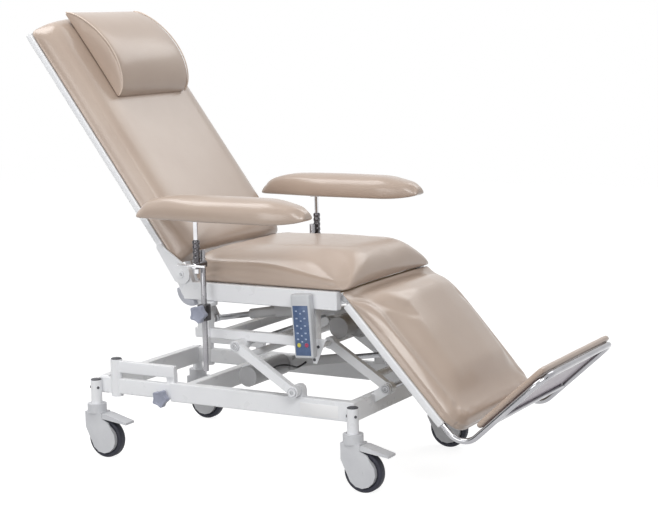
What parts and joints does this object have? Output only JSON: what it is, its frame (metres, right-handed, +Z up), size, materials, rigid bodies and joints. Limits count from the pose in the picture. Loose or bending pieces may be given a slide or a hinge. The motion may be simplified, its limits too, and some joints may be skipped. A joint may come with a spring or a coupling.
{
  "type": "dialysis chair",
  "caption": "Powered reclining treatment chair with padded seat, back, leg rest and swing arms on a braked caster base, with parallel-arm height lift, foot loop and handset.",
  "frame": {"origin": "on the floor, under the middle of the chair's bounding box", "axes": "+X towards the foot rest, +Y towards the sitter's left, +Z up"},
  "size_m": [1.7742, 0.8606, 1.4351],
  "materials": {
    "white_enamel": "white powder coat",
    "beige_vinyl": "smooth beige leatherette",
    "chrome": "polished chrome",
    "dark_steel": "dark nickel plate",
    "zinc_steel": "zinc plate",
    "light_grey_plastic": "moulded light grey",
    "blue_grey_plastic": "moulded blue grey",
    "tyre_rubber": "dark blue-black rubber",
    "sealed_plywood": "sealed plywood",
    "lilac_laminate": "satin laminate",
    "motor_grey": "moulded grey",
    "control_box_black": "moulded black",
    "handset_grey": "moulded light grey",
    "key_yellow": "silicone yellow",
    "key_red": "silicone red"
  },
  "bodies": {
    "base": {"base_frame": "white_enamel", "front_lower_shaft": "zinc_steel"},
    "caster_front_near": {"caster_fork_front_near": "light_grey_plastic"},
    "wheel_front_near": {"caster_wheel_front_near": "light_grey_plastic", "caster_tyre_front_near": "tyre_rubber"},
    "pedal_front_near": {"caster_pedal_front_near": "light_grey_plastic"},
    "caster_front_far": {"caster_fork_front_far": "light_grey_plastic"},
    "wheel_front_far": {"caster_wheel_front_far": "light_grey_plastic", "caster_tyre_front_far": "tyre_rubber"},
    "pedal_front_far": {"caster_pedal_front_far": "light_grey_plastic"},
    "caster_rear_near": {"caster_fork_rear_near": "light_grey_plastic"},
    "wheel_rear_near": {"caster_wheel_rear_near": "light_grey_plastic", "caster_tyre_rear_near": "tyre_rubber"},
    "pedal_rear_near": {"caster_pedal_rear_near": "light_grey_plastic"},
    "caster_rear_far": {"caster_fork_rear_far": "light_grey_plastic"},
    "wheel_rear_far": {"caster_wheel_rear_far": "light_grey_plastic", "caster_tyre_rear_far": "tyre_rubber"},
    "pedal_rear_far": {"caster_pedal_rear_far": "light_grey_plastic"},
    "rear_arms": {"rear_lift_arms": "white_enamel"},
    "front_arms": {"front_lift_arms": "white_enamel"},
    "seat": {"lift_frame": "white_enamel", "rear_upper_shaft": "zinc_steel", "seat_frame": "white_enamel", "seat_board": "sealed_plywood", "seat_cushion": "beige_vinyl", "leg_hinge_shaft": "zinc_steel", "control_box": "control_box_black", "drive_cable": "control_box_black", "handset": "handset_grey", "arm_clamp_near": "dark_steel", "arm_clamp_far": "dark_steel"},
    "back": {"back_frame": "white_enamel", "back_board": "sealed_plywood", "back_cushion": "beige_vinyl"},
    "pillow": {"head_pillow": "beige_vinyl"},
    "leg": {"leg_frame": "white_enamel", "leg_board": "sealed_plywood", "leg_cushion": "beige_vinyl"},
    "footrest": {"footrest_tube": "chrome", "footrest_panel": "lilac_laminate", "footrest_pad": "beige_vinyl"},
    "arm_near": {"arm_pole_near": "chrome", "arm_knuckle_near": "dark_steel"},
    "armrest_near": {"arm_stem_near": "chrome", "arm_pad_near": "beige_vinyl"},
    "arm_knob_near": {"arm_knob_near": "blue_grey_plastic"},
    "arm_far": {"arm_pole_far": "chrome", "arm_knuckle_far": "dark_steel"},
    "armrest_far": {"arm_stem_far": "chrome", "arm_pad_far": "beige_vinyl"},
    "arm_knob_far": {"arm_knob_far": "blue_grey_plastic"},
    "lift_motor": {"lift_drive": "motor_grey"},
    "lift_rod": {"lift_drive_rod": "zinc_steel"},
    "back_motor": {"back_drive": "motor_grey"},
    "back_rod": {"back_drive_rod": "zinc_steel"},
    "leg_motor": {"leg_drive": "motor_grey"},
    "leg_rod": {"leg_drive_rod": "zinc_steel"},
    "key_yellow": {"handset_key_yellow": "key_yellow"},
    "key_red": {"handset_key_red": "key_red"},
    "base_knob": {"base_knob": "blue_grey_plastic"}
  },
  "joints": [
    {"name": "caster_swivel_front_near", "type": "hinge", "parent": "base", "child": "caster_front_near", "pos_m": [0.2793, -0.29, 0.16], "axis": [0, 0, 1], "continuous": true},
    {"name": "wheel_roll_front_near", "type": "hinge", "parent": "caster_front_near", "child": "wheel_front_near", "pos_m": [0.3163, -0.29, 0.0625], "axis": [0, 1, 0], "continuous": true},
    {"name": "brake_pedal_front_near", "type": "hinge", "parent": "caster_front_near", "child": "pedal_front_near", "pos_m": [0.3138, -0.29, 0.128], "axis": [0, 1, 0], "range_deg": [0, 8]},
    {"name": "caster_swivel_front_far", "type": "hinge", "parent": "base", "child": "caster_front_far", "pos_m": [0.2793, 0.29, 0.16], "axis": [0, 0, 1], "continuous": true},
    {"name": "wheel_roll_front_far", "type": "hinge", "parent": "caster_front_far", "child": "wheel_front_far", "pos_m": [0.3163, 0.29, 0.0625], "axis": [0, 1, 0], "continuous": true},
    {"name": "brake_pedal_front_far", "type": "hinge", "parent": "caster_front_far", "child": "pedal_front_far", "pos_m": [0.3138, 0.29, 0.128], "axis": [0, 1, 0], "range_deg": [0, 8]},
    {"name": "caster_swivel_rear_near", "type": "hinge", "parent": "base", "child": "caster_rear_near", "pos_m": [-0.6607, -0.29, 0.16], "axis": [0, 0, 1], "continuous": true},
    {"name": "wheel_roll_rear_near", "type": "hinge", "parent": "caster_rear_near", "child": "wheel_rear_near", "pos_m": [-0.6237, -0.29, 0.0625], "axis": [0, 1, 0], "continuous": true},
    {"name": "brake_pedal_rear_near", "type": "hinge", "parent": "caster_rear_near", "child": "pedal_rear_near", "pos_m": [-0.6262, -0.29, 0.128], "axis": [0, 1, 0], "range_deg": [0, 8]},
    {"name": "caster_swivel_rear_far", "type": "hinge", "parent": "base", "child": "caster_rear_far", "pos_m": [-0.6607, 0.29, 0.16], "axis": [0, 0, 1], "continuous": true},
    {"name": "wheel_roll_rear_far", "type": "hinge", "parent": "caster_rear_far", "child": "wheel_rear_far", "pos_m": [-0.6237, 0.29, 0.0625], "axis": [0, 1, 0], "continuous": true},
    {"name": "brake_pedal_rear_far", "type": "hinge", "parent": "caster_rear_far", "child": "pedal_rear_far", "pos_m": [-0.6262, 0.29, 0.128], "axis": [0, 1, 0], "range_deg": [0, 8]},
    {"name": "seat_height", "type": "hinge", "parent": "base", "child": "rear_arms", "pos_m": [0.0833, 0, 0.281], "axis": [0, 1, 0], "range_deg": [-20, 28]},
    {"name": "front_arm_turn", "type": "hinge", "parent": "base", "child": "front_arms", "pos_m": [0.3173, 0, 0.281], "axis": [0, 1, 0], "range_deg": [-21, 29]},
    {"name": "seat_level", "type": "hinge", "parent": "rear_arms", "child": "seat", "pos_m": [-0.11451, 0, 0.40413], "axis": [0, 1, 0], "range_deg": [-29, 21]},
    {"name": "back_tilt", "type": "hinge", "parent": "seat", "child": "back", "pos_m": [-0.3127, 0, 0.614], "axis": [0, 1, 0], "range_deg": [-46, 18]},
    {"name": "leg_tilt", "type": "hinge", "parent": "seat", "child": "leg", "pos_m": [0.2463, 0, 0.57], "axis": [0, 1, 0], "range_deg": [-47, 8]},
    {"name": "pillow_height", "type": "slide", "parent": "back", "child": "pillow", "axis": [0.5962, 0, -0.8028], "range_m": [0, 0.1]},
    {"name": "footrest_length", "type": "slide", "parent": "leg", "child": "footrest", "axis": [0.6782, 0, -0.7349], "range_m": [0, 0.1]},
    {"name": "arm_height_near", "type": "slide", "parent": "seat", "child": "arm_near", "axis": [0, 0, 1], "range_m": [-0.06, 0.1]},
    {"name": "arm_swing_near", "type": "hinge", "parent": "arm_near", "child": "armrest_near", "pos_m": [-0.2067, -0.363, 0.7], "axis": [0, 0, 1], "range_deg": [-8, 35]},
    {"name": "arm_knob_turn_near", "type": "hinge", "parent": "seat", "child": "arm_knob_near", "pos_m": [-0.2067, -0.36, 0.5075], "axis": [0, 1, 0], "continuous": true},
    {"name": "arm_height_far", "type": "slide", "parent": "seat", "child": "arm_far", "axis": [0, 0, 1], "range_m": [-0.06, 0.1]},
    {"name": "arm_swing_far", "type": "hinge", "parent": "arm_far", "child": "armrest_far", "pos_m": [-0.2067, 0.363, 0.7], "axis": [0, 0, 1], "range_deg": [-35, 8]},
    {"name": "arm_knob_turn_far", "type": "hinge", "parent": "seat", "child": "arm_knob_far", "pos_m": [-0.2067, 0.36, 0.5075], "axis": [0, 1, 0], "continuous": true},
    {"name": "lift_drive_turn", "type": "hinge", "parent": "base", "child": "lift_motor", "pos_m": [-0.2757, 0.045, 0.262], "axis": [0, 1, 0], "range_deg": [-6, 5]},
    {"name": "lift_drive_stroke", "type": "slide", "parent": "lift_motor", "child": "lift_rod", "axis": [0.987, 0, 0.1609], "range_m": [-0.03, 0.045]},
    {"name": "back_drive_turn", "type": "hinge", "parent": "seat", "child": "back_motor", "pos_m": [0.0593, -0.16, 0.515], "axis": [0, 1, 0], "range_deg": [-5, 10]},
    {"name": "back_drive_stroke", "type": "slide", "parent": "back_motor", "child": "back_rod", "axis": [-0.9849, 0, -0.1729], "range_m": [-0.115, 0.05]},
    {"name": "leg_drive_turn", "type": "hinge", "parent": "seat", "child": "leg_motor", "pos_m": [0.0543, -0.03, 0.452], "axis": [0, 1, 0], "range_deg": [-24, 6]},
    {"name": "leg_drive_stroke", "type": "slide", "parent": "leg_motor", "child": "leg_rod", "axis": [0.9838, 0, -0.1791], "range_m": [-0.03, 0.105]},
    {"name": "key_press_yellow", "type": "slide", "parent": "seat", "child": "key_yellow", "axis": [0, 1, 0], "range_m": [0, 0.001], "stiffness_N_per_m": 500, "springref_m": -0.0004},
    {"name": "key_press_red", "type": "slide", "parent": "seat", "child": "key_red", "axis": [0, 1, 0], "range_m": [0, 0.001], "stiffness_N_per_m": 500, "springref_m": -0.0004},
    {"name": "base_knob_turn", "type": "hinge", "parent": "base", "child": "base_knob", "pos_m": [-0.4067, -0.29, 0.212], "axis": [0, 1, 0], "continuous": true}
  ],
  "couplings": [
    {"joint": "front_arm_turn", "follows": "seat_height", "ratio": 1},
    {"joint": "seat_level", "follows": "seat_height", "ratio": -1},
    {"joint": "lift_drive_turn", "follows": "seat_height", "ratio": -0.15},
    {"joint": "lift_drive_stroke", "follows": "seat_height", "m_per_rad": 0.0775},
    {"joint": "back_drive_turn", "follows": "back_tilt", "ratio": -0.16},
    {"joint": "back_drive_stroke", "follows": "back_tilt", "m_per_rad": 0.1375},
    {"joint": "leg_drive_turn", "follows": "leg_tilt", "ratio": 0.47},
    {"joint": "leg_drive_stroke", "follows": "leg_tilt", "m_per_rad": -0.12}
  ]
}
